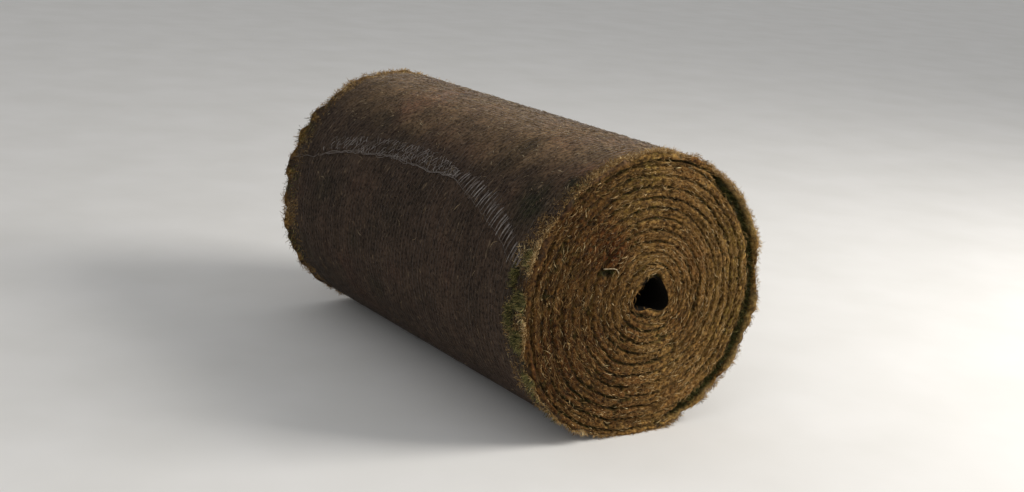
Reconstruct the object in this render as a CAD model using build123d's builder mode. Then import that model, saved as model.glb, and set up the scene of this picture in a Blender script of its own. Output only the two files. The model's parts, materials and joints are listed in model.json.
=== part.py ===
"""A large roll of turf: one long strip, wound grass side in, with a net around it.

The roll lies on its side, its axis along X. The origin is on the floor under its middle.
"""
import os

from build123d import *

# Driving dimensions, in millimetres
cut_width = 1220.0  # width of the cut strip, which is the length of the roll
turf_thickness = 26.0  # one turn: soil, roots and pressed grass
turns = 11
bore_radius = 50.0  # left open for the lifting spindle
grass_width = 8.0  # part of each turn that is soft grass, set back on the ends
grass_setback = 7.0
turn_round = 3.0  # worn edge of each turn's soil
rim_round = 9.0  # worn edge of the outermost turn
net_thickness = 1.0
net_clearance = 0.2
net_setback = 12.0  # from each end of the roll
tail_thickness = 10.0  # the strip's last stretch, worn thin, which stands off the roll
tail_gap_width = 16.0
tail_gap_depth = 30.0
tail_gap_start = -70.0  # degrees up from the level, behind the axis
tail_gap_sweep = 125.0
band_width = 36.0  # the net's loose end, bunched into a band along the front
band_thickness = 3.0

# The band's middle line, as shares of half the roll's width and of its radius over the axis
band_line = [(-1.03, 0.33), (-0.5, 0.565), (0, 0.643), (0.5, 0.565), (0.8, 0.37), (1.03, 0.06)]

roll_radius = bore_radius + turns * turf_thickness
half_width = cut_width / 2
axis_height = roll_radius + net_clearance + net_thickness
roll_axis = Axis((0, 0, axis_height), (1, 0, 0))

# Seen from the front, x of this plane runs along the roll and y outwards from its axis
section_plane = Plane(origin=(0, 0, axis_height), x_dir=(1, 0, 0), z_dir=(0, -1, 0))

# Seen from the near end, x of this plane runs to the back and y up
end_plane = Plane(origin=(0, 0, axis_height), x_dir=(0, 1, 0), z_dir=(1, 0, 0))

with BuildPart() as turf_roll:
    with BuildSketch(section_plane) as wall:
        with Locations((0, (bore_radius + roll_radius) / 2)):
            Rectangle(cut_width, roll_radius - bore_radius)
        # The grass between one turn and the next stays behind the cut soil
        for turn in range(1, turns):
            seam_radius = bore_radius + turn * turf_thickness
            with Locations((-half_width, seam_radius), (half_width, seam_radius)):
                Rectangle(2 * grass_setback, grass_width, mode=Mode.SUBTRACT)
        end_lines = wall.vertices().group_by(Axis.X)
        for end_line in (end_lines[0], end_lines[-1]):
            # The first corner is the bore's and the last is the rim's
            soil_corners = end_line.sort_by(Axis.Y)[1:-1]
            fillet(soil_corners, turn_round)
        fillet(wall.vertices().group_by(Axis.Y)[-1], rim_round)
    revolve(axis=roll_axis)
    # At both ends a gap shows where the tail stands off the turn below it
    for end_side in (-1, 1):
        with BuildSketch(end_plane.offset(end_side * half_width)):
            with BuildLine():
                gap_radius = roll_radius - tail_thickness - tail_gap_width / 2
                CenterArc((0, 0), gap_radius, tail_gap_start, tail_gap_sweep)
            trace(line_width=tail_gap_width)
        extrude(amount=tail_gap_depth, both=True, mode=Mode.SUBTRACT)


def net_sleeve(thickness):
    """A sleeve of that thickness round the turf, as long as the net."""
    with BuildPart() as sleeve:
        with BuildSketch(section_plane):
            with Locations((0, roll_radius + net_clearance + thickness / 2)):
                Rectangle(cut_width - 2 * net_setback, thickness)
        revolve(axis=roll_axis)
    return sleeve.part


with BuildPart() as net_band:
    add(net_sleeve(band_thickness))
    with BuildSketch(section_plane):
        with BuildLine():
            Spline(*[(along * half_width, up * roll_radius) for along, up in band_line])
        trace(line_width=band_width)
    extrude(amount=2 * roll_radius, mode=Mode.INTERSECT)

with BuildPart() as net_wrap:
    add(net_sleeve(net_thickness))
    add(net_band.part)

os.makedirs("parts", exist_ok=True)
turf_roll.part.label = "turf_roll"
net_wrap.part.label = "net_wrap"
for piece in (turf_roll.part, net_wrap.part):
    export_step(piece, f"parts/{piece.label}.step")
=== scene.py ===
# %% [markdown]
# # A big roll of turf, dressed around its CAD frame
#
# Turf is cut from the field as one long strip and wound up grass side in. What shows is therefore the cut
# underside, which is dark soil bound by roots, and at both ends the edges of all the turns. A thin knitted
# net holds the roll together. The CAD frame has the true sizes: a round body with its bore and turns, and a
# sleeve where the net lies. This lesson puts rough turf, loose fibres and a real net in their places.

# %% Load the frame
import itertools
import json
import math

import bpy
import numpy as np
from mathutils import Matrix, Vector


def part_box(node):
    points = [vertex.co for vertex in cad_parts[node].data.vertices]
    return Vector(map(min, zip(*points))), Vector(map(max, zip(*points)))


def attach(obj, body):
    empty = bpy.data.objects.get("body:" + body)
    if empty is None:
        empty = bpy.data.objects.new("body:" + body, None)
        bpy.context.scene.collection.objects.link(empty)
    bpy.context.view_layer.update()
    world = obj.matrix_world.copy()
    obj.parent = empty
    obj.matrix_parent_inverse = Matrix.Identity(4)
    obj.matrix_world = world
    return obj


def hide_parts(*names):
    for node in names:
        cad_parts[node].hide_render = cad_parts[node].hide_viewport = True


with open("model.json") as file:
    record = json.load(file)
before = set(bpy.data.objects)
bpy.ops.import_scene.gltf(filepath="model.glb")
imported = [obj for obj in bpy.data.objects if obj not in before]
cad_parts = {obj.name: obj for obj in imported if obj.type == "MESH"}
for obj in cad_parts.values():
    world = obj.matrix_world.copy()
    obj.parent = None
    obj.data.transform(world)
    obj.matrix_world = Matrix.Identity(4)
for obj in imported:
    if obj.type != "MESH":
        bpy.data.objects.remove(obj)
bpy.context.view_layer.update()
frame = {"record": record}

# %% [markdown]
# ## Sizes
#
# The frame gives the outer sizes, so nothing is fitted by hand. The roll's axis is along X, and the
# photograph shows the end at +X and the side towards -Y. A place on an end is given by its distance from the
# axis and by its angle, counted from +Y upwards.

# %% Sizes, in metres
TURF_LOW, TURF_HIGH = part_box("turf_roll")
HALF_LENGTH = TURF_HIGH[0]
ROLL_RADIUS = (TURF_HIGH[2] - TURF_LOW[2]) / 2
AXIS_HEIGHT = (TURF_HIGH[2] + TURF_LOW[2]) / 2
NET_HALF_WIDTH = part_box("net_wrap")[1][0]
BORE_RADIUS = frame["record"]["mounts"][0]["dims"]["r_mm"] / 1000
TURNS = 11
TURN_THICKNESS = (ROLL_RADIUS - BORE_RADIUS) / TURNS
FULL_TURN = 2 * math.pi
print("radius", ROLL_RADIUS, "axis height", AXIS_HEIGHT, "one turn", TURN_THICKNESS)

# %% [markdown]
# ## Chance with a pattern
#
# Soil and roots are uneven at several scales at once. One smooth noise, asked for at different lump sizes,
# gives all of them. It is worked out in space, so it runs round the roll with no seam. Loose fibres need
# plain random numbers, and they come from one seeded source so that every run gives the same roll.

# %% Noise and random numbers
random = np.random.default_rng(11)


def lumps(points, size, seed=0):
    """Smooth noise from -1 to 1 at many points, with lumps of that size in metres.

    Each corner of a cubic lattice has its own height, made by scrambling its whole-number place. A point
    takes the eight heights round it, shared out by 3t^2 - 2t^3 along each axis."""
    place = points / size
    cell = np.floor(place).astype(np.int64)
    share = place - cell
    share = share * share * (3 - 2 * share)
    total = np.zeros(place.shape[:-1])
    for corner in itertools.product((0, 1), repeat=3):
        key = (cell + corner) @ np.array([73856093, 19349663, 83492791]) + seed * 104729
        key = (key ^ (key >> 11)) * 668265263 & 0xFFFFFFFF
        key = (key ^ (key >> 15)) * 374761393 & 0xFFFFFFFF
        height = (key >> 8 & 0xFFFF) / 32767.5 - 1
        weight = np.where(corner, share, 1 - share).prod(axis=-1)
        total += weight * height
    return total


def smooth_step(low, high, value):
    """0 below low, 1 above high and 3t^2 - 2t^3 between them."""
    t = np.clip((value - low) / (high - low), 0, 1)
    return t * t * (3 - 2 * t)


# %% [markdown]
# ## How the roll has settled
#
# The CAD body is a true cylinder. Real turf is soft and heavy, so the roll sits on a narrow flat, is about
# 11 mm fuller above it on both sides and 4 mm lower on top. At its mouth the bore has closed in to a rounded
# triangle and lies a little towards the back, where the turns are wound tighter. All of these are small
# changes of place, so they can be worked out for any point of the roll.

# %% The settled shape
FLAT_FULLNESS = 0.011
TOP_SINK = 0.004
BORE_SHIFT = 0.012
FLOOR_CLEARANCE = TURF_LOW[2]


def outline_radius(angle):
    """Outer radius of the turf at that angle.

    From straight down, a half sine wave of fullness runs up to just past the widest place, and a quarter
    wave of sinking from there to the top. Near the floor the radius is cut to the flat, height / cos."""
    from_down = np.abs((angle + math.pi / 2 + math.pi) % FULL_TURN - math.pi)
    widest = math.radians(95)
    fuller = np.sin(math.pi * np.clip(from_down / widest, 0, 1))
    side_share = 1 - 0.25 * np.cos(angle)
    sunk = 1 - np.cos(math.pi / 2 * np.clip((from_down - widest) / (math.pi - widest), 0, 1))
    radius = ROLL_RADIUS + FLAT_FULLNESS * fuller * side_share - TOP_SINK * sunk
    floor_limit = (AXIS_HEIGHT - FLOOR_CLEARANCE) / np.maximum(np.cos(from_down), 0.5)
    return np.minimum(radius, floor_limit)


def stacked(*parts):
    """One array whose last axis runs through the parts, each of them an array or one number."""
    return np.stack(np.broadcast_arrays(*parts), axis=-1)


def on_roll(along, radius, angle):
    """Points at that place along the axis, at that radius and angle."""
    return stacked(along, radius * np.cos(angle), AXIS_HEIGHT + radius * np.sin(angle))


def settled(along, radius, angle, outwards=0.0):
    """Where the settled roll has a place of the true cylinder, moved outwards from the axis by that much.

    The outline's change grows with the square of the radius. The mouth's change has two lobes and three,
    and fades as exp(-distance from the bore's wall / 30 mm) and with the depth from the end."""
    along, radius, angle, outwards = np.broadcast_arrays(along, radius, angle, outwards)
    outer = (outline_radius(angle) - ROLL_RADIUS) * (radius / ROLL_RADIUS) ** 2
    lobes = -0.0055 + 0.006 * np.cos(2 * angle) + 0.0075 * np.cos(3 * (angle - math.radians(200)))
    at_mouth = smooth_step(0.085, 0.02, HALF_LENGTH - np.abs(along))
    mouth = lobes * at_mouth * np.exp(-(radius - BORE_RADIUS) / 0.03)
    points = on_roll(along, radius + outer + mouth + outwards, angle)
    points[..., 1] += BORE_SHIFT * (1 - smooth_step(BORE_RADIUS, 0.8 * ROLL_RADIUS, radius))
    points[..., 2] = np.maximum(points[..., 2], FLOOR_CLEARANCE)
    return points


# %% [markdown]
# ## The relief of the cut ends
#
# On the ends each turn is a crust of soil and roots, and between two turns the pressed grass stays back as a
# thin dark line. The turns are one spiral: the line moves out by one thickness in each round. Most turns
# have also cracked along their middle, where the soil meets the thatch. Over the back of the rim the tail
# stands off as a thin layer of its own, with a deep and grassy gap under it. The relief is a height over the
# end, made of all these, of a slow shift of each layer in or out, and of lumps and pits.

# %% Relief of the ends
TAIL_ANGLE = math.radians(75)
GAP_HALF_WIDTH = 0.0013
GAP_WALL = 0.0030
GAP_DEPTH = 0.012
TAIL_GAP_RADIUS = ROLL_RADIUS - 0.019
TAIL_GAP_HALF_WIDTH = 0.011
TAIL_GAP_DEPTH = 0.030
TAIL_GAP_START, TAIL_GAP_END, TAIL_CRACK_END = np.radians((-70, 55, 118))
TAIL_CRACK_DEPTH = 0.010
END_SETBACK = 0.003
PIT_PLACE = (-0.128, 0.066)


def turn_count(radius, angle):
    """How many turns lie between the bore and that place. It is a whole number on the middle of each gap."""
    round_share = ((TAIL_ANGLE - angle) % FULL_TURN) / FULL_TURN
    return (radius - BORE_RADIUS) / TURN_THICKNESS + round_share


def window_of(angle, start, end):
    """1 between two angles, 0 outside them, with soft ends."""
    blend = math.radians(9)
    return smooth_step(start - blend, start + blend, angle) * smooth_step(end + blend, end - blend, angle)


def end_relief(radius, angle, side):
    """(height, crust) of an end: the height out of its plane, and 1 on a turn's crust, 0 in a gap or pit."""
    place = on_roll(side * HALF_LENGTH, radius, angle)
    count = turn_count(radius, angle) + 0.15 * lumps(place, 0.075, 1) + 0.07 * lumps(place, 0.028, 2)
    clear = 0.40 + 0.60 * smooth_step(-0.8, 0.30, lumps(place, 0.11, 3) + 0.5 * np.cos(angle + 0.3))
    window = window_of(angle, TAIL_GAP_START, TAIL_GAP_END)
    crack_window = window_of(angle, TAIL_GAP_END - 0.1, TAIL_CRACK_END)

    from_gap = np.abs(count - np.round(count)) * TURN_THICKNESS
    half_width = GAP_HALF_WIDTH * (1 + 0.7 * lumps(place, 0.04, 4))
    under_tail = window * (radius > TAIL_GAP_RADIUS)
    gap = (1 - smooth_step(0, GAP_WALL, from_gap - half_width)) * clear * (1 - under_tail)
    from_middle = np.abs(count - np.floor(count) - 0.5 - 0.10 * lumps(place, 0.05, 5)) * TURN_THICKNESS
    cracked = smooth_step(-0.35, 0.45, lumps(place, 0.055, 6) + 0.5 * smooth_step(0.16, 0.06, radius))
    crack = (1 - smooth_step(0, 0.0028, from_middle - 0.0004)) * cracked * clear
    from_tail = np.abs(radius - TAIL_GAP_RADIUS - 0.004 * crack_window - 0.0018 * lumps(place, 0.03, 7))
    tail_half = TAIL_GAP_HALF_WIDTH * window + 0.0012 * crack_window
    tail_share = smooth_step(0, 0.3, window + 0.7 * crack_window)
    tail_gap = (1 - smooth_step(0, 0.003, from_tail - tail_half)) * tail_share
    pit = smooth_step(0.42, 0.75, lumps(place, 0.013, 8)) * smooth_step(-0.5, 0.5, lumps(place, 0.06, 9))
    if side > 0:
        across, up = place[..., 1] - PIT_PLACE[0], place[..., 2] - AXIS_HEIGHT - PIT_PLACE[1]
        pit = np.maximum(pit, 2.2 * np.exp(-(across / 0.020) ** 2 - (up / 0.008) ** 2))

    on_turn = stacked(np.floor(2 * count) * 0.37, place[..., 1], place[..., 2])
    sideways = 0.0045 * lumps(on_turn, 0.16, 10) + 0.0030 * lumps(on_turn, 0.05, 11)
    rough = 0.0028 * lumps(place, 0.024, 12) + 0.0026 * lumps(place, 0.011, 13)
    rough += 0.0016 * lumps(place, 0.006, 14)
    solid = (1 - gap) * (1 - tail_gap)
    depth = GAP_DEPTH * (1 + 0.35 * lumps(place, 0.06, 15))
    tail_depth = TAIL_CRACK_DEPTH + (TAIL_GAP_DEPTH - TAIL_CRACK_DEPTH) * window
    height = solid * (sideways + rough) - gap * depth - tail_gap * tail_depth - 0.0045 * crack - 0.006 * pit
    crust = solid * (1 - 0.65 * crack) * np.clip(1 - 0.8 * pit, 0, 1)
    return np.maximum(height - END_SETBACK, -TAIL_GAP_DEPTH), crust


# %% [markdown]
# ## The relief of the side and of the rims
#
# The net presses the side nearly flat, so its lumps are cut off just under the net. Past the net's edge
# nothing holds the outermost turn, and there it flares and has frayed into clods and bites.

# %% Relief of the side and of the rims
def side_relief(place):
    """Height of the side over the outline. The lumps are cut off just under the net, and pits go deeper."""
    rough = 0.0017 * lumps(place, 0.09, 21) + 0.0012 * lumps(place, 0.035, 22)
    rough += 0.0009 * lumps(place, 0.014, 23)
    return np.minimum(rough - 0.0012, 0.0001)


def rim_swell(along, radius, angle, side):
    """How far the rim stands out: a flare over the last 22 mm, and lumps over the last 35 mm."""
    place = on_roll(side * along, radius, angle)
    from_end = HALF_LENGTH - along
    outermost = smooth_step(ROLL_RADIUS - 0.02, ROLL_RADIUS, radius)
    clods = 0.0080 * lumps(place, 0.036, 31) + 0.0050 * lumps(place, 0.015, 32)
    bites = -0.006 * smooth_step(0.35, 0.75, lumps(place, 0.024, 33))
    flare = 0.0045 * smooth_step(0.022, 0.002, from_end)
    return outermost * (flare + (clods + bites) * smooth_step(0.035, 0, from_end))


# %% [markdown]
# ## Materials
#
# All colours are mixed from noise in the object's own coordinates, which has no seam. Stretching the
# coordinates stretches the pattern: the knife's streaks run round the roll, so the noise is fine along X and
# coarse along Y and Z. The materials also read values that the meshes carry. On the body "cut" is 1 on an
# end, "crust" is 1 on a turn and 0 in a gap, and "green", "red" and "pale" are 1 where it has that look.
# One more value is 1 on top, where the soil is drier and is also painted lighter as painted light; another
# is 1 on the left of the near end, which is painted darker as painted shade; and "dark" is 1 inside the
# bore, which is painted nearly black as painted shade. On a fibre or thread, "tone" makes it unlike the
# next.

# %% Helpers for materials
def paint(red, green, blue):
    """A colour from its 0 to 255 screen values, made linear as ((v + 0.055) / 1.055) ^ 2.4."""
    return tuple(((value / 255 + 0.055) / 1.055) ** 2.4 for value in (red, green, blue)) + (1.0,)


def new_material(name, roughness, gloss=0.5):
    """An empty material, its node tree and its Principled shader."""
    material = bpy.data.materials.new(name)
    material.use_nodes = True
    shader = material.node_tree.nodes["Principled BSDF"]
    shader.inputs["Roughness"].default_value = roughness
    shader.inputs["Specular IOR Level"].default_value = gloss
    print("material", name)
    return material, material.node_tree, shader


def stretched_noise(tree, scale, detail=4.0, stretch=(1, 1, 1)):
    """Noise in object coordinates. A stretch over 1 makes the pattern finer along that axis."""
    where = tree.nodes.new("ShaderNodeTexCoord")
    mapping = tree.nodes.new("ShaderNodeMapping")
    mapping.inputs["Scale"].default_value = stretch
    noise = tree.nodes.new("ShaderNodeTexNoise")
    noise.inputs["Scale"].default_value = scale
    noise.inputs["Detail"].default_value = detail
    tree.links.new(where.outputs["Object"], mapping.inputs["Vector"])
    tree.links.new(mapping.outputs["Vector"], noise.inputs["Vector"])
    return noise.outputs["Fac"]


def attribute(tree, name):
    """The value that the mesh carries under that name."""
    node = tree.nodes.new("ShaderNodeAttribute")
    node.attribute_name = name
    return node.outputs["Fac"]


def ramp(tree, value, stops):
    """A colour ramp with stops of (place, screen values of its colour), read at value."""
    node = tree.nodes.new("ShaderNodeValToRGB")
    elements = node.color_ramp.elements
    while len(elements) < len(stops):
        elements.new(0.5)
    for element, (place, colour) in zip(elements, stops):
        element.position = place
        element.color = paint(*colour)
    tree.links.new(value, node.inputs["Fac"])
    return node.outputs["Color"]


def mix(tree, factor, first, second, blend="MIX"):
    """Two colours mixed. The factor, first and second may each be a socket or a constant."""
    node = tree.nodes.new("ShaderNodeMix")
    node.data_type = "RGBA"
    node.blend_type = blend
    sockets = (node.inputs[0], node.inputs[6], node.inputs[7])
    for socket, value in zip(sockets, (factor, first, second)):
        if isinstance(value, bpy.types.NodeSocket):
            tree.links.new(value, socket)
        else:
            socket.default_value = value
    return node.outputs[2]


def between(tree, value, low, high):
    """A value stretched so that low becomes 0 and high becomes 1, and cut off there."""
    node = tree.nodes.new("ShaderNodeMapRange")
    node.inputs["From Min"].default_value = low
    node.inputs["From Max"].default_value = high
    tree.links.new(value, node.inputs["Value"])
    return node.outputs["Result"]


def bump(tree, shader, heights):
    """Chained bumps of (height socket, distance in metres) on the shader."""
    normal = None
    for height, distance in heights:
        node = tree.nodes.new("ShaderNodeBump")
        node.inputs["Distance"].default_value = distance
        tree.links.new(height, node.inputs["Height"])
        if normal:
            tree.links.new(normal, node.inputs["Normal"])
        normal = node.outputs["Normal"]
    tree.links.new(normal, shader.inputs["Normal"])


# %% [markdown]
# ### Turf
#
# The underside is moist soil, brown with a grey and here and there a green cast, and the knife has smeared
# it into fine streaks. The ends are dry roots and thatch, straw brown with darker crumbs and a reddish patch
# inward of the rim. The gaps hold dark, half green grass. One material holds all three, so that they can run
# into each other at the ragged rim.

# %% Turf material
def underside_colour(tree):
    """Soil: broad patches, clods and streaks, drier on top, where it is also painted lighter as painted
    light, and green in a few places. The streaks run round the roll, but along it on top, where the soil is
    drier, because there they are bits of straw."""
    patches = stretched_noise(tree, 6.0, 5)
    clods = stretched_noise(tree, 38.0, 6)
    streaks = stretched_noise(tree, 14.0, 7, (13, 1, 1))
    strokes = stretched_noise(tree, 75.0, 5, (0.22, 1, 1))
    threads = stretched_noise(tree, 95.0, 3, (1, 0.35, 0.35))
    specks = stretched_noise(tree, 125.0, 5)
    ground = ramp(tree, patches, [
        (0.30, (72, 62, 52)), (0.45, (82, 69, 59)), (0.58, (92, 77, 66)), (0.72, (90, 70, 59))])
    # The soil on top is much lighter: partly drier soil, partly painted light from above.
    dry_ground = ramp(tree, patches, [
        (0.30, (150, 128, 96)), (0.50, (184, 154, 118)), (0.72, (188, 144, 114))])
    ground = mix(tree, attribute(tree, "dry"), ground, dry_ground)
    ground = mix(tree, attribute(tree, "green"), ground, paint(60, 60, 44))
    clod_tint = ramp(tree, clods, [
        (0.34, (190, 185, 180)), (0.50, (222, 220, 218)), (0.66, (246, 242, 236))])
    ground = mix(tree, 0.85, ground, clod_tint, "MULTIPLY")
    streak_stops = [(0.36, (180, 173, 166)), (0.52, (230, 227, 224)), (0.68, (255, 251, 244))]
    streak_tints = [ramp(tree, value, streak_stops) for value in (streaks, strokes)]
    streak_tint = mix(tree, attribute(tree, "dry"), *streak_tints)
    ground = mix(tree, 0.6, ground, streak_tint, "MULTIPLY")
    speck_tint = ramp(tree, specks, [(0.37, (138, 130, 124)), (0.56, (255, 252, 248))])
    ground = mix(tree, 0.9, ground, speck_tint, "MULTIPLY")
    root_share = between(tree, threads, 0.64, 0.78)
    return mix(tree, root_share, ground, paint(126, 108, 86)), clods, streaks


def cut_edge_colour(tree):
    """Roots and thatch: a straw to dark brown speckle, redder in one patch, dark in the gaps, and darker on
    the left of the near end as painted shade.
    """
    speckle = stretched_noise(tree, 110.0, 6)
    broad = stretched_noise(tree, 9.0, 4)
    crumbs = stretched_noise(tree, 260.0, 3)
    straw = ramp(tree, speckle, [
        (0.30, (58, 42, 22)), (0.42, (104, 78, 42)), (0.52, (142, 110, 63)),
        (0.62, (170, 136, 81)), (0.74, (202, 171, 110))])
    warmth = ramp(tree, broad, [
        (0.34, (205, 172, 150)), (0.48, (238, 226, 206)), (0.60, (252, 246, 226)),
        (0.70, (222, 228, 184))])
    straw = mix(tree, 0.75, straw, warmth, "MULTIPLY")
    straw = mix(tree, attribute(tree, "red"), straw, paint(210, 162, 144), "MULTIPLY")
    # Painted shade: the left of the near end is made darker.
    straw = mix(tree, attribute(tree, "damp"), straw, paint(162, 146, 132), "MULTIPLY")
    pale_straw = mix(tree, 0.32, straw, paint(204, 180, 120))
    straw = mix(tree, attribute(tree, "pale"), straw, pale_straw)
    crumb_tint = ramp(tree, crumbs, [(0.34, (128, 112, 96)), (0.55, (255, 255, 255))])
    straw = mix(tree, 0.6, straw, crumb_tint, "MULTIPLY")
    grass = ramp(tree, speckle, [
        (0.34, (26, 23, 11)), (0.52, (48, 45, 20)), (0.68, (72, 72, 32))])
    return mix(tree, attribute(tree, "crust"), grass, straw), speckle, crumbs


def make_turf_material():
    """The underside and the cut edge, mixed by the mesh's "cut" value, and painted shade, nearly black, in
    the bore.
    """
    material, tree, shader = new_material("turf", 0.95, 0.15)
    soil, clods, streaks = underside_colour(tree)
    edge, speckle, crumbs = cut_edge_colour(tree)
    colour = mix(tree, attribute(tree, "cut"), soil, edge)
    # Painted shade: the inside of the bore is painted nearly black.
    colour = mix(tree, attribute(tree, "dark"), colour, paint(20, 16, 10))
    tree.links.new(colour, shader.inputs["Base Color"])
    bump(tree, shader, [(clods, 0.003), (streaks, 0.0012), (speckle, 0.003), (crumbs, 0.0012)])
    return material


turf_material = make_turf_material()

# %% [markdown]
# ### Fibres, grass and net
#
# A fibre is too thin for a pattern, so its colour comes from its own tone, and a little noise makes one end
# darker than the other. The net is thin grey-white plastic thread with soil on it.

# %% Fibre, grass and net materials
def make_fibre_material(name, stops, roughness):
    """A ramp read at each fibre's tone, shaded by fine noise."""
    material, tree, shader = new_material(name, roughness, 0.25)
    tone = ramp(tree, attribute(tree, "tone"), stops)
    noise = stretched_noise(tree, 130.0, 3)
    shade = ramp(tree, noise, [(0.3, (170, 160, 150)), (0.6, (255, 255, 255))])
    tree.links.new(mix(tree, 0.8, tone, shade, "MULTIPLY"), shader.inputs["Base Color"])
    bump(tree, shader, [(noise, 0.0004)])
    return material


straw_material = make_fibre_material("dry_roots", [
    (0.0, (56, 40, 20)), (0.25, (104, 78, 42)), (0.5, (146, 113, 64)),
    (0.75, (184, 150, 96)), (1.0, (226, 202, 152))], 0.8)
pale_root_material = make_fibre_material("pale_roots", [
    (0.0, (70, 57, 46)), (0.4, (104, 86, 68)), (0.8, (150, 128, 98)),
    (1.0, (206, 188, 152))], 0.8)
grass_material = make_fibre_material("grass", [
    (0.0, (30, 28, 13)), (0.35, (52, 53, 24)), (0.65, (80, 81, 38)),
    (0.85, (116, 110, 58)), (1.0, (166, 152, 94))], 0.6)
net_material = make_fibre_material("net_thread", [
    (0.0, (82, 72, 63)), (0.5, (126, 117, 111)), (1.0, (184, 177, 172))], 0.5)

# %% [markdown]
# ## From arrays to a piece
#
# Every new piece is worked out as whole arrays and put into its mesh in one go. The same helper makes it
# ride on the CAD body.

# %% Put arrays into a mesh
def add_object(name, data):
    """A new object in the scene."""
    thing = bpy.data.objects.new(name, data)
    bpy.context.scene.collection.objects.link(thing)
    return thing


def make_piece(name, points, faces, material, slot, stands_for=None, smooth=True, **values):
    """A mesh object from an array of points, one of faces with equal corner counts, and values per point."""
    points = points.reshape(-1, 3).astype(np.float32)
    faces = faces.reshape(-1, faces.shape[-1]).astype(np.int32)
    mesh = bpy.data.meshes.new(name)
    mesh.vertices.add(len(points))
    mesh.vertices.foreach_set("co", points.ravel())
    mesh.loops.add(faces.size)
    mesh.loops.foreach_set("vertex_index", faces.ravel())
    mesh.polygons.add(len(faces))
    mesh.polygons.foreach_set("loop_start", np.arange(0, faces.size, faces.shape[-1], dtype=np.int32))
    mesh.polygons.foreach_set("use_smooth", np.full(len(faces), smooth))
    for value_name, per_point in values.items():
        layer = mesh.attributes.new(value_name, "FLOAT", "POINT")
        layer.data.foreach_set("value", per_point.astype(np.float32).ravel())
    mesh.update(calc_edges=True)
    mesh.validate()
    mesh.materials.append(material)
    piece = add_object(name, mesh)
    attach(piece, "root")
    if stands_for:
        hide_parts(stands_for)
    triangles = len(faces) * (faces.shape[-1] - 2)
    print(name, len(points), "points", triangles, "triangles")


def ring_faces(rows, columns):
    """Four-cornered faces of a grid that closes on itself along its rows and along its columns."""
    row, column = np.meshgrid(np.arange(rows), np.arange(columns), indexing="ij")
    next_row, next_column = (row + 1) % rows, (column + 1) % columns
    return stacked(row * columns + column, row * columns + next_column,
                   next_row * columns + next_column, next_row * columns + column).reshape(-1, 4)


# %% [markdown]
# ## The turf body
#
# The body is one profile carried round the axis: from the middle of the bore out to its mouth, over the end,
# round the rim, back along the side and down the hidden middle plane. Rows of points follow the profile and
# columns go round, and the relief moves each point outwards. Two halves keep each piece within its
# triangles. Each half reaches one row past the middle, a hair under the other's surface, so both have the
# same slope where they meet and no seam shows.

# %% Turf body, in two halves
COLUMNS = 480
END_ROWS = 150
SIDE_ROWS = 40
BORE_ROWS = 8
RIM_ROWS = 7
RIM_ROUND = 0.009
MOUTH_STEP = 0.002
OVERLAP_DEPTH = 0.0003
RED_PATCH = (HALF_LENGTH, -0.135, AXIS_HEIGHT + 0.122)
GREEN_PATCHES = [((0.49, -0.255, 0.55), 0.06), ((0.56, -0.205, 0.60), 0.045), ((0.57, -0.33, 0.43), 0.045),
                 ((0.58, -0.335, 0.34), 0.05), ((0.59, -0.32, 0.24), 0.05)]


def half_profile():
    """Rows of (along, radius, out along, out radius, cut), from the bore's middle to the side's middle."""
    bore_along = (HALF_LENGTH - MOUTH_STEP) * (1 - np.linspace(1, 0, BORE_ROWS) ** 2)
    end_radius = np.linspace(BORE_RADIUS, ROLL_RADIUS - RIM_ROUND, END_ROWS)
    bend = np.linspace(0, math.pi / 2, RIM_ROWS + 2)[1:]
    rim_along = HALF_LENGTH - RIM_ROUND * (1 - np.cos(bend))
    rim_radius = ROLL_RADIUS - RIM_ROUND * (1 - np.sin(bend))
    side_along = (HALF_LENGTH - RIM_ROUND) * (1 - np.linspace(0, 1, SIDE_ROWS + 1)[1:] ** 1.6)
    return np.concatenate([
        stacked(bore_along, BORE_RADIUS, 0, -1, 1),
        stacked(HALF_LENGTH, end_radius, 1, 0, 1),
        stacked(rim_along, rim_radius, np.cos(bend), np.sin(bend), np.cos(bend) ** 2),
        stacked(side_along, ROLL_RADIUS, 0, 1, 0),
        stacked([-side_along[-2]], ROLL_RADIUS - OVERLAP_DEPTH, 0, 1, 0)])


def frayed_side(angle):
    """1 low on the side that shows, where the rim has frayed farthest, and 0 over 78 degrees away."""
    return smooth_step(0.2, 1.0, np.cos(angle - math.radians(198)))


def in_shade(place, side):
    """1 on the left of the near end, which is painted darker as painted shade, and 0 on its right and on the
    far end.
    """
    return smooth_step(0.10, -0.26, place[..., 1]) * (side > 0)


def patch(place, centre, size):
    """exp(-distance squared / size squared) from a centre, with one size, or one along each axis."""
    return np.exp(-(((place - centre) / size) ** 2).sum(axis=-1))


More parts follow.
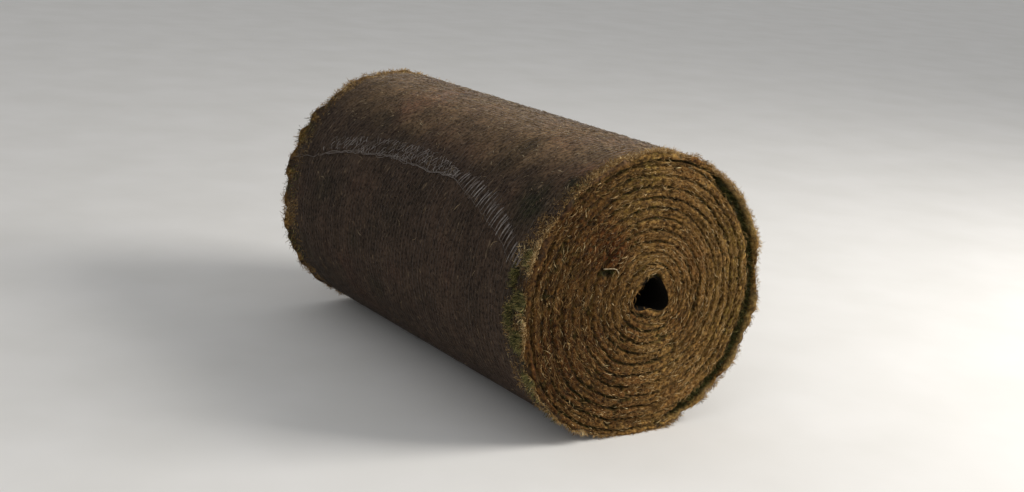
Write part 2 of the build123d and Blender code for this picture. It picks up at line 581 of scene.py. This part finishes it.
def make_half(name, side):
    """One half of the body. The far half is the near one's profile on the other side of the middle plane."""
    angle = np.linspace(0, FULL_TURN, COLUMNS, endpoint=False) - math.pi
    along, radius, out_along, out_radius, cut, angle = np.broadcast_arrays(
        *half_profile().T[:, :, None], angle)
    height, crust = end_relief(radius, angle, side)
    place = on_roll(side * along, radius, angle)
    inside = out_radius < 0
    move = cut * height + (1 - cut) * side_relief(place) + rim_swell(along, radius, angle, side)
    move = np.where(inside, 0.002 * lumps(place, 0.03, 41), move)
    points = settled(side * (along + move * out_along), radius, angle, move * out_radius)
    faces = ring_faces(len(along), COLUMNS)
    if side < 0:
        faces = faces[:, ::-1]

    reach = 0.042 + 0.026 * frayed_side(angle) + 0.036 * lumps(place, 0.07, 47)
    border = 4 * cut * (1 - cut) + smooth_step(reach, 0.0, HALF_LENGTH - along) * (cut < 0.5)
    cut = np.where(inside, 1.0, np.clip(cut + border * (0.9 * lumps(place, 0.022, 42) + 0.35), 0, 1))
    # 1 on top, a little towards the back: drier soil, and painted light there as well.
    dry = smooth_step(0.50, 1.06, np.sin(angle + 0.2) + 0.12 * lumps(place, 0.05, 43))
    green = smooth_step(0.45, 0.8, lumps(place, 0.10, 44)) * 0.4
    for centre, size in GREEN_PATCHES:
        green = np.maximum(green, patch(place, centre, size))
    green = np.clip(green * (1 + 0.5 * lumps(place, 0.025, 46)), 0, 1)
    red = patch(place, RED_PATCH, (0.05, 0.065, 0.065))
    red = np.clip(0.9 * red * (1 + 0.5 * lumps(place, 0.03, 45)), 0, 1)
    # Painted shade on the left of the near end.
    damp = in_shade(place, side)
    tail = window_of(angle, TAIL_GAP_START, TAIL_GAP_END) * smooth_step(0, 0.006, radius - TAIL_GAP_RADIUS)
    pale = tail * crust * smooth_step(-0.6, 0.6, lumps(place, 0.03, 48))
    # "dark" is 1 inside the bore, where it gives painted shade.
    make_piece(name, points, faces, turf_material, "turf", "turf_roll", cut=cut, crust=crust, dry=dry,
               green=green, damp=damp, red=red, pale=pale, dark=inside * 1.0)


make_half("turf_near_half", 1)
make_half("turf_far_half", -1)

# %% [markdown]
# ## Loose fibres
#
# Dead roots, straw and grass stand off the turf everywhere, and they make the ends look like matting. Hair
# doesn't leave the scene as a mesh, so each fibre is a sliver: a root, a tip and three corners round its
# bent middle, which makes a closed body of six triangles.

# %% Slivers from arrays
THIRDS = np.arange(3)[:, None] * FULL_TURN / 3


def unit(vectors):
    """The same vectors with a length of 1."""
    return vectors / np.maximum(np.linalg.norm(vectors, axis=-1, keepdims=True), 1e-9)


def drawn(low, spread, count, power=1):
    """Random numbers from low to low + spread, the nearer to low the higher the power."""
    return low + spread * random.uniform(size=count) ** power


def bell(*shape):
    """Random numbers on a bell curve round 0, as an array of that shape."""
    return random.normal(size=shape)


def over_floor(points):
    """The same points, but none of them lower than the turf's lowest place."""
    return np.maximum(points, (-np.inf, -np.inf, FLOOR_CLEARANCE))


def make_slivers(name, roots, direction, length, bend, width, flatness, tone, material):
    """Many closed slivers as one piece.

    Each tip lies one length from its root along direction, and the middle half way, moved by bend. Three
    corners stand 120 degrees apart round the middle, on an ellipse whose height is flatness times its
    width."""
    roots, tips = over_floor(roots), over_floor(roots + direction * length[:, None])
    middle = over_floor((roots + tips) / 2 + bend)
    along = unit(tips - roots)
    across = unit(np.cross(along, unit(bell(*along.shape))))
    third = np.cross(along, across)
    ring = middle[:, None] + width[:, None, None] * (
        np.cos(THIRDS) * across[:, None] + flatness * np.sin(THIRDS) * third[:, None])
    points = np.concatenate([roots[:, None], tips[:, None], ring], axis=1)
    pattern = np.array([(2, 3, 1), (3, 4, 1), (4, 2, 1), (3, 2, 0), (4, 3, 0), (2, 4, 0)])
    faces = pattern[None] + 5 * np.arange(len(roots))[:, None, None]
    tone = np.repeat(np.clip(tone, 0, 1), 5)
    make_piece(name, points, faces, material, "turf", smooth=False, tone=tone)


def frame_on_end(angle, side):
    """Unit vectors outwards from the axis, round the axis and out of that end, for each angle."""
    outwards = stacked(0, np.cos(angle), np.sin(angle))
    around = stacked(0, -np.sin(angle), np.cos(angle))
    return outwards, around, stacked(side, 0, 0 * angle)


# %% [markdown]
# ### Straw and roots on the ends
#
# They lie mostly along the turns, because the knife and the handling comb them that way, and lean out of the
# end. Places are drawn evenly over the area: the square of the radius is drawn evenly, not the radius.

# %% Fibres on the ends
END_FIBRES = 18000


def make_end_fibres(name, side, count):
    """Straw on one end, thick on the turns' crusts and thin in the gaps."""
    radius = np.sqrt(random.uniform(BORE_RADIUS ** 2, (ROLL_RADIUS - 0.004) ** 2, 2 * count))
    angle = random.uniform(-math.pi, math.pi, 2 * count)
    height, crust = end_relief(radius, angle, side)
    kept = np.flatnonzero(random.uniform(size=2 * count) < 0.12 + 0.88 * crust)[:count]
    count = len(kept)
    radius, angle, height, crust = radius[kept], angle[kept], height[kept], crust[kept]
    roots = settled(side * (HALF_LENGTH + height - 0.001), radius, angle)
    outwards, around, out_of_end = frame_on_end(angle, side)
    sign = np.sign(bell(count, 1))
    combed = 0.65 + 0.35 * np.cos(angle + 0.3)[:, None]
    spread = bell(count, 3) * (0.35, 0.55, 0.22) * (1 - 0.6 * combed)
    lean = drawn(0.22, 0.30, (count, 1), 2)
    direction = unit((sign + spread[:, :1]) * around + spread[:, 1:2] * outwards + lean * out_of_end)
    length = drawn(0.007, 0.021, count, 2)
    bend = (bell(count, 3) * 0.12 + 0.10 * out_of_end) * length[:, None]
    width = drawn(0.0005, 0.0007, count, 2)
    tone = 0.42 + 0.22 * lumps(roots, 0.035, 51) + 0.20 * bell(count) - 0.35 * (1 - crust)
    # Painted shade: straw on the left of the near end is made darker.
    tone -= 0.14 * in_shade(roots, side)
    tone = np.where(random.uniform(size=count) < 0.04, 0.95, tone)
    make_slivers(name, roots, direction, length, bend, width, 0.6, tone, straw_material)


make_end_fibres("near_end_straw", 1, END_FIBRES)
make_end_fibres("far_end_straw", -1, END_FIBRES // 2)

# %% [markdown]
# ### The ragged rim
#
# At the rim the outermost turn's edge has frayed. Clumps of pale straw stand out from it, a finger's width
# at most, and the photograph shows them best where the light catches them along the top.

# %% Fringe at both rims
RIM_FIBRES = 12000


def make_rim_fringe(name, side, count):
    """Clumped straw at one rim. A place is kept where a noise with lumps of 4 cm is high."""
    angle = random.uniform(-math.pi, math.pi, 4 * count)
    clump = lumps(on_roll(side * HALF_LENGTH, ROLL_RADIUS, angle), 0.04, 61)
    upper = 0.5 + 0.5 * np.sin(angle)
    kept = np.flatnonzero(random.uniform(-0.8, 1, 4 * count) < clump + 0.3 * upper - 0.15)[:count]
    count = len(kept)
    angle, clump, upper = angle[kept], clump[kept], upper[kept]
    along = HALF_LENGTH - drawn(0.003, 0.040 + 0.045 * frayed_side(angle), count, 2)
    swell = rim_swell(along, ROLL_RADIUS, angle, side)
    roots = settled(side * along, ROLL_RADIUS, angle, swell - 0.003)
    outwards, around, out_of_end = frame_on_end(angle, side)
    sign = np.sign(bell(count, 1))
    spread = bell(count, 3) * (0.5, 0.3, 0.6)
    direction = unit((0.7 * sign + spread[:, :1]) * around + (0.30 + np.abs(spread[:, 1:2])) * outwards
                     + (0.15 + spread[:, 2:]) * out_of_end)
    length = drawn(0.006, 0.015 * (0.8 + 0.5 * clump), count, 1.8)
    bend = bell(count, 3) * 0.14 * length[:, None]
    width = drawn(0.0005, 0.0008, count, 2)
    # Painted highlight: the fringe is made paler on top and towards the upper back.
    lit = np.maximum(np.cos(angle - 0.6), 0)
    tone = 0.46 + 0.22 * clump + 0.12 * upper + 0.16 * lit + 0.18 * bell(count)
    tone += 0.14 * frayed_side(angle) * (side > 0)
    make_slivers(name, roots, direction, length, bend, width, 0.6, tone, straw_material)


make_rim_fringe("near_rim_fringe", 1, RIM_FIBRES)
make_rim_fringe("far_rim_fringe", -1, RIM_FIBRES // 2)

# %% [markdown]
# ### Roots on the side
#
# The knife leaves cut roots and bits of straw pressed flat on the soil. They lie in all directions, and most
# are nearly as dark as the soil.

# %% Roots on the side
SIDE_ROOTS = 7000
TOP_FUZZ = 9000


def make_side_roots(count):
    """Flat slivers on the side. Each lies in the surface, along a direction drawn from all round. A few are
    bold and pale."""
    along = random.uniform(-HALF_LENGTH + 0.01, HALF_LENGTH - 0.01, count)
    angle = random.uniform(-math.pi, math.pi, count)
    radius = outline_radius(angle)
    surface = on_roll(along, ROLL_RADIUS, angle)
    middle = on_roll(along, radius + np.minimum(side_relief(surface), 0) + 0.0006, angle)
    outwards, around, along_axis = frame_on_end(angle, 1)
    way = random.uniform(0, math.pi, count)[:, None]
    direction = np.cos(way) * around + np.sin(way) * along_axis
    length = drawn(0.008, 0.030, count, 2.2)
    roots = middle - direction * length[:, None] / 2
    bend = np.cross(direction, outwards) * (bell(count) * 0.12 * length)[:, None]
    bold = random.uniform(size=count) < 0.012
    width = np.where(bold, 0.0012, drawn(0.0005, 0.0006, count, 2))
    top = smooth_step(0.3, 1.0, np.sin(angle))
    tone = 0.24 + 0.18 * bell(count) + 0.30 * (random.uniform(size=count) < 0.10 + 0.25 * top)
    tone = np.where(bold, 0.85, tone)
    make_slivers("side_roots", roots, direction, length, bend, width, 0.4, tone, pale_root_material)


def make_top_fuzz(count):
    """Short straw that has come through the net along the top. It lies low and mostly along the roll."""
    along = random.uniform(-NET_HALF_WIDTH + 0.02, NET_HALF_WIDTH - 0.02, count)
    angle = math.radians(80) + 0.36 * bell(count)
    outwards, around, along_axis = frame_on_end(angle, 1)
    roots = on_roll(along, outline_radius(angle) - 0.001, angle)
    way = 0.55 * bell(count, 1)
    rise = drawn(0.08, 0.16, (count, 1), 2)
    sign = np.sign(bell(count, 1))
    direction = unit(np.sin(way) * around + sign * np.cos(way) * along_axis + rise * outwards)
    length = drawn(0.008, 0.020, count, 2)
    bend = 0.06 * outwards * length[:, None]
    width = drawn(0.0005, 0.0005, count, 2)
    tone = 0.68 + 0.22 * bell(count)
    make_slivers("top_fuzz", roots, direction, length, bend, width, 0.5, tone, pale_root_material)


make_side_roots(SIDE_ROOTS)
make_top_fuzz(TOP_FUZZ)

# %% [markdown]
# ### Grass
#
# Green shows only where the grass side comes to light: in the gaps of the ends, most of all in the wide gap
# under the tail, and in tufts that hang over the rim on the shaded side. A blade is a flatter, wider sliver.

# %% Grass in the gaps and at the rims
BLADE_FLATNESS = 0.35


def make_gap_grass(name, side, count):
    """Blades rooted in the gaps of one end. They lean along the turn and reach about to its crust."""
    gap = random.integers(1, TURNS + 1, 3 * count) + bell(3 * count) * 0.06
    angle = random.uniform(-math.pi, math.pi, 3 * count)
    round_share = ((TAIL_ANGLE - angle) % FULL_TURN) / FULL_TURN
    radius = BORE_RADIUS + (gap - round_share) * TURN_THICKNESS
    chance = 0.10 + 0.5 * radius / ROLL_RADIUS
    good = (radius > BORE_RADIUS + 0.004) & (radius < ROLL_RADIUS - 0.026)
    kept = np.flatnonzero(good & (random.uniform(size=3 * count) < chance))[:count]
    count = len(kept)
    radius, angle = radius[kept], angle[kept]
    outwards, around, out_of_end = frame_on_end(angle, side)
    roots = settled(side * (HALF_LENGTH - 0.015), radius, angle)
    sign = np.sign(bell(count, 1))
    spread = bell(count, 2) * (0.5, 0.15)
    direction = unit(0.9 * out_of_end + (0.6 * sign + spread[:, :1]) * around + spread[:, 1:] * outwards)
    length = drawn(0.010, 0.010, count)
    bend = bell(count, 3) * 0.10 * length[:, None]
    width = drawn(0.0006, 0.0008, count)
    tone = 0.25 + 0.20 * bell(count)
    make_slivers(name, roots, direction, length, bend, width, BLADE_FLATNESS, tone, grass_material)


def make_tail_grass(name, side, count):
    """Blades in the gap under the tail. They stand on its floor, bent along it, some up to its mouth."""
    angle = random.uniform(TAIL_GAP_START, TAIL_GAP_END, count)
    radius = TAIL_GAP_RADIUS + TAIL_GAP_HALF_WIDTH * random.uniform(-1, 1, count)
    outwards, around, out_of_end = frame_on_end(angle, side)
    roots = settled(side * (HALF_LENGTH - TAIL_GAP_DEPTH), radius, angle)
    spread = bell(count, 2) * (0.55, 0.20)
    direction = unit(out_of_end + spread[:, :1] * around + spread[:, 1:] * outwards)
    length = drawn(0.014, 0.017, count)
    bend = bell(count, 3) * 0.14 * length[:, None]
    width = drawn(0.0008, 0.0010, count)
    tone = 0.56 + 0.20 * bell(count)
    make_slivers(name, roots, direction, length, bend, width, BLADE_FLATNESS, tone, grass_material)


def make_rim_grass(name, side, count, middle, reach):
    """Tufts over one rim, densest at middle degrees and gone reach degrees away from it."""
    tries = 12 * count
    angle = np.radians(middle + reach * random.uniform(-1, 1, tries) * random.uniform(0, 1, tries) ** 0.4)
    angle = (angle + math.pi) % FULL_TURN - math.pi
    along = HALF_LENGTH - drawn(0, 0.040 + 0.030 * frayed_side(angle), tries, 1.3)
    clump = lumps(on_roll(side * along, ROLL_RADIUS, angle), 0.045, 71)
    kept = np.flatnonzero(clump > 0.22 + 0.12 * bell(tries))[:count]
    count = len(kept)
    angle, along = angle[kept], along[kept]
    outwards, around, out_of_end = frame_on_end(angle, side)
    roots = settled(side * along, ROLL_RADIUS, angle, rim_swell(along, ROLL_RADIUS, angle, side) - 0.003)
    spread = bell(count, 3) * (0.5, 0.35, 0.45)
    direction = unit(spread[:, :1] * around + (0.35 + np.abs(spread[:, 1:2])) * outwards
                     + (spread[:, 2:] - 0.35) * out_of_end - (0, 0, 0.35))
    length = drawn(0.008, 0.016, count)
    bend = bell(count, 3) * 0.15 * length[:, None]
    width = drawn(0.0006, 0.0008, count)
    tone = 0.46 + 0.22 * bell(count) + 0.42 * (random.uniform(size=count) < 0.45)
    make_slivers(name, roots, direction, length, bend, width, BLADE_FLATNESS, tone, grass_material)


make_gap_grass("near_gap_grass", 1, 2600)
make_gap_grass("far_gap_grass", -1, 1400)
make_tail_grass("near_tail_grass", 1, 3400)
make_tail_grass("far_tail_grass", -1, 1200)
make_rim_grass("near_rim_grass", 1, 3000, 172, 62)
make_rim_grass("far_rim_grass", -1, 350, 160, 60)

# %% [markdown]
# ## The net
#
# The net is knitted: chains run round the roll about 14 mm apart, and a thread goes to and fro between each
# two. The threads are thin and soiled, so on the side they show as little more than fine lines. The net's
# loose end crosses the side as a band, where its last rows have bunched up. A see-through pattern would
# give threads no body, so each is a thin three-sided tube.

# %% Tubes from arrays
def make_tubes(name, paths, width, tone, material, slot, stands_for=None):
    """Tubes with three sides round paths of equal point counts, closed by a triangle at each end.

    The tone is one for each path, or one for each of its points. At each point the side vector is the path's
    direction crossed with the way out from the roll's axis."""
    count, steps = paths.shape[:2]
    direction = unit(np.gradient(paths, axis=1))
    outwards = unit(paths * (0, 1, 1) - (0, 0, AXIS_HEIGHT))
    across = unit(np.cross(direction, outwards))
    third = np.cross(across, direction)
    rings = paths[:, :, None] + np.reshape(width, (-1, 1, 1, 1)) * (
        np.cos(THIRDS) * across[:, :, None] + np.sin(THIRDS) * third[:, :, None])
    first = 3 * steps * np.arange(count)[:, None, None] + 3 * np.arange(steps - 1)[None, :, None]
    low, low_next = first + (0, 1, 2), first + (1, 2, 0)
    start = 3 * steps * np.arange(count)
    end = start + 3 * steps
    parts = [stacked(low, low_next, low_next + 3), stacked(low, low_next + 3, low + 3),
             stacked(start + 2, start + 1, start), stacked(end - 3, end - 2, end - 1)]
    faces = np.concatenate([part.reshape(-1, 3) for part in parts])
    tone = np.broadcast_to(np.reshape(tone, (count, -1)), (count, steps))
    tone = np.repeat(np.clip(tone, 0, 1), 3)
    make_piece(name, rings, faces, material, slot, stands_for, tone=tone)


# %% Where the net's loose end lies
BAND_LINE = np.array([(-1.03, 0.33), (-0.5, 0.565), (0, 0.643), (0.5, 0.565), (0.8, 0.37), (1.03, 0.06)])


def band_angle(along):
    """Angle of the band's middle line at that place along the roll.

    Its six places are the CAD source's, as shares of half the length and of the radius over the axis. The
    curve is the polynomial of the fifth degree through them, and the angle is 180 degrees less the arc sine
    of its height share."""
    curve = np.polyfit(BAND_LINE[:, 0], BAND_LINE[:, 1], len(BAND_LINE) - 1)
    return math.pi - np.arcsin(np.polyval(curve, along / HALF_LENGTH))


# %% Chains and cross threads
CHAIN_SPACING = 0.014
CHAIN_END = NET_HALF_WIDTH - 0.004
NET_STEPS = 120
NET_ROUNDS = 1.02
NET_HEIGHT = 0.0006
CHAIN_WIDTH = 0.00028
CROSS_WIDTH = 0.00018


def make_net():
    """Chains and zigzag cross threads, from the loose end once round and a little over, paler along the top
    as a painted highlight.
    """
    chains = int(2 * NET_HALF_WIDTH / CHAIN_SPACING)
    base = np.linspace(-CHAIN_END, CHAIN_END, chains)
    angle = band_angle(base)[:, None] - np.linspace(0, NET_ROUNDS * FULL_TURN, NET_STEPS)
    flat = stacked(base[:, None], 0.30 * np.cos(angle), 0.30 * np.sin(angle))
    slide = 0.011 * lumps(flat, 0.13, 81) + 0.005 * lumps(flat, 0.045, 82)
    along = np.clip(base[:, None] + slide, -NET_HALF_WIDTH, NET_HALF_WIDTH)
    height = NET_HEIGHT + 0.0003 * (1 + lumps(flat, 0.02, 83))
    chain_paths = on_roll(along, outline_radius(angle) + height, angle)
    swing = np.arange(NET_STEPS) % 2
    cross_along = along[:-1] * (1 - swing) + along[1:] * swing
    cross_angle = angle[:-1] * (1 - swing) + angle[1:] * swing
    cross_paths = on_roll(cross_along, outline_radius(cross_angle) + NET_HEIGHT, cross_angle)
    paths = np.concatenate([chain_paths, cross_paths])
    paths[..., 2] = np.maximum(paths[..., 2], FLOOR_CLEARANCE / 2)
    width = np.repeat([CHAIN_WIDTH, CROSS_WIDTH], [len(chain_paths), len(cross_paths)])
    height_share = (paths[..., 2] - AXIS_HEIGHT) / ROLL_RADIUS
    # Painted highlight: threads along the top are made paler, most of all at the top line.
    painted_top_light = 0.40 * smooth_step(0.80, 1.0, height_share) + 0.35 * smooth_step(0.93, 0.975, height_share)
    tone = 0.14 + 0.12 * bell(len(paths), 1) + painted_top_light
    make_tubes("net_threads", paths, width, tone, net_material, "net", "net_wrap")


make_net()

# %% [markdown]
# ### The bunched end of the net
#
# Towards the near end the last meshes have been pulled to one side, so their threads lie together in bundles
# like the teeth of a comb. Towards the far end they are still a few rows of open meshes. A frayed edge runs
# along below both. The band stands a little off the turf, and the shadow under it makes it show.

# %% The band along the net's loose end
BAND_WIDTH = 0.042
EDGE_STEPS = 200
THREAD_STEPS = 7
COMB_START = 0.17
COMB_END = NET_HALF_WIDTH - 0.038
COMB_SPACING = 0.0135
COMB_STRANDS = 4
MESH_START = -0.46
MESH_SPACING = 0.0125
MESH_ROWS = 4
MESH_STRANDS = 2


def band_points(along, share, height):
    """Points of the band: share is -0.5 on its lower edge and 0.5 on its upper one.

    The band is drawn together to half its width where the comb begins."""
    width = BAND_WIDTH * (1.15 - 0.6 * np.exp(-((along - COMB_START) / 0.06) ** 2))
    angle = band_angle(along) - width * share / ROLL_RADIUS
    return on_roll(np.clip(along, -NET_HALF_WIDTH, NET_HALF_WIDTH), outline_radius(angle) + height, angle)


def make_band_edge():
    """Frayed strands on the band's lower edge. Two run along the open meshes, and two start at the net's far
    end, of which one runs on along the comb."""
    starts = np.array([MESH_START, MESH_START + 0.03, -CHAIN_END, -CHAIN_END])[:, None]
    ends = np.array([COMB_START, COMB_START + 0.02, COMB_START + 0.05, COMB_END])[:, None]
    along = starts + (ends - starts) * np.linspace(0, 1, EDGE_STEPS)
    strand = 0.05 * np.arange(len(ends))[:, None]
    key = stacked(along, strand, 0)
    share = -0.48 + 0.12 * lumps(key, 0.06, 91) + 0.10 * lumps(key, 0.018, 92)
    height = 0.0018 + 0.0011 * lumps(key, 0.015, 93)
    tone = [0.75, 0.60, 0.50, 0.25]
    make_tubes("net_band_edge", band_points(along, share, height), 0.00050, tone, net_material, "net")


def make_band_threads(name, along, low, high, lean, tone):
    """Short threads across the band, each from one share of its width to another, bowed off the turf."""
    share = low[:, None] + (high - low)[:, None] * np.linspace(0, 1, THREAD_STEPS)
    bow = (1 - np.linspace(-1, 1, THREAD_STEPS) ** 2) * random.uniform(0.3, 1, (len(along), 1))
    paths = band_points(along[:, None] + lean[:, None] * share, share, 0.0009 + 0.0022 * bow)
    make_tubes(name, paths, 0.00055, tone, net_material, "net")


def make_comb():
    """Bundles of threads over the whole width of the band's near part."""
    teeth = np.arange(COMB_START, COMB_END, COMB_SPACING)
    teeth = (teeth + 0.0018 * bell(len(teeth))).repeat(COMB_STRANDS)
    uneven = bell(4, len(teeth))
    low, high = -0.48 + 0.09 * uneven[1], 0.46 + 0.12 * uneven[2]
    lean = 0.012 + 0.003 * uneven[0]
    make_band_threads("net_band_comb", teeth + 0.0012 * uneven[0], low, high, lean, 0.55 + 0.22 * uneven[3])


def make_open_mesh():
    """Rows of short threads on the band's far part. They slant to one side and to the other in turn, and
    fewer of them lie where a noise is low."""
    place, row = np.meshgrid(np.arange(MESH_START, COMB_START, MESH_SPACING), np.arange(MESH_ROWS))
    place = (place + MESH_SPACING / 2 * (row % 2)).ravel().repeat(MESH_STRANDS)
    row = row.ravel().repeat(MESH_STRANDS)
    share = (row + 0.5) / MESH_ROWS - 0.5
    thickness = lumps(stacked(place, 0.06 * row, 0), 0.05, 94)
    thickness -= smooth_step(MESH_START + 0.08, MESH_START, place)
    kept = np.flatnonzero(random.uniform(-1.2, 0.5, len(place)) < thickness)
    place, share = place[kept], share[kept]
    uneven = bell(4, len(kept))
    half = 0.14 + 0.03 * uneven[1]
    share = share + 0.03 * uneven[2]
    lean = np.where(kept % MESH_STRANDS, 0.036, -0.024) + 0.006 * uneven[0]
    along = place + 0.0016 * uneven[0] - lean * share
    make_band_threads("net_band_mesh", along, share - half, share + half, lean, 0.60 + 0.22 * uneven[3])


make_band_edge()
make_comb()
make_open_mesh()

# %% [markdown]
# ## A twig
#
# One pale piece of root lies across a pit on the near end, up and to the left of the bore.

# %% The twig on the near end
def make_twig():
    """A tube of 44 mm. One end curls down, as the sixth power of the way along it, and its height over the
    turf follows a half sine wave."""
    share = np.linspace(0, 1, 15)
    across = PIT_PLACE[0] - 0.022 + 0.044 * share
    up = PIT_PLACE[1] + 0.012 - 0.014 * share ** 6
    out = HALF_LENGTH + 0.001 + 0.005 * np.sin(math.pi * share)
    path = stacked(out, across + BORE_SHIFT, AXIS_HEIGHT + up)[None]
    make_tubes("near_end_twig", path, 0.0013, [0.95], pale_root_material, "turf")


make_twig()

# %% [markdown]
# ## Floor, light and camera
#
# The floor is plain and pale. One large soft lamp stands to the right of the camera, where the sun is in the
# photograph, and a weaker one fills in from the left. The camera stands where the photographer stood, as
# solved from the photograph: 2.5 m in front of the near end, 2.1 m to the side and 1.28 m up. It looks
# straight at the roll, so the lens needs no shift, and is tilted as in the photograph.

# %% Stage and camera
CAMERA_PLACE = (3.116, -2.115, 1.275)
CAMERA_TARGET = (0.06, -0.01, 0.318)
CAMERA_TILT = math.radians(4.0)
LENS = 52.0


def aim(thing, place, target, tilt=0.0):
    """Puts a lamp or camera at place, with -Z towards target and +Y up, turned about its view by tilt."""
    forward = unit(np.subtract(target, place))
    right = unit(np.cross(forward, (0, 0, 1)))
    upward = np.cross(right, forward)
    matrix = np.eye(4)
    matrix[:3, 0] = right * math.cos(tilt) + upward * math.sin(tilt)
    matrix[:3, 1] = upward * math.cos(tilt) - right * math.sin(tilt)
    matrix[:3, 2] = -forward
    matrix[:3, 3] = place
    thing.matrix_world = Matrix(matrix.tolist())


def make_lamp(name, place, size, power, colour):
    """A square soft lamp that points at the roll's middle."""
    light = bpy.data.lights.new(name, "AREA")
    light.size = size
    light.energy = power
    light.color = colour
    aim(add_object(name, light), place, (0, 0, AXIS_HEIGHT))


def make_floor():
    """A pale plane with a faint mottling."""
    size = 30.0
    corners = [(-size, -size, 0), (size, -size, 0), (size, size, 0), (-size, size, 0)]
    mesh = bpy.data.meshes.new("floor")
    mesh.from_pydata(corners, [], [(0, 1, 2, 3)])
    material, tree, shader = new_material("pale_floor", 0.9)
    mottling = ramp(tree, stretched_noise(tree, 3.0, 3), [(0.3, (226, 225, 222)), (0.7, (232, 231, 229))])
    tree.links.new(mottling, shader.inputs["Base Color"])
    mesh.materials.append(material)
    add_object("floor", mesh)


def make_world():
    """Even white light from all around."""
    world = bpy.data.worlds.new("studio")
    world.use_nodes = True
    background = world.node_tree.nodes["Background"]
    background.inputs["Color"].default_value = (1, 1, 1, 1)
    background.inputs["Strength"].default_value = 0.46
    bpy.context.scene.world = world


make_floor()
make_world()
make_lamp("key", (2.6, 3.2, 3.0), 2.2, 225, (1.0, 0.96, 0.90))
make_lamp("fill", (2.2, -4.0, 2.6), 3.0, 18, (0.95, 0.97, 1.0))
camera_data = bpy.data.cameras.new("camera")
camera_data.lens = LENS
camera = add_object("camera", camera_data)
aim(camera, CAMERA_PLACE, CAMERA_TARGET, CAMERA_TILT)
bpy.context.scene.camera = camera
bpy.context.scene.view_settings.view_transform = "Standard"
print("camera", CAMERA_PLACE, "lens", LENS)
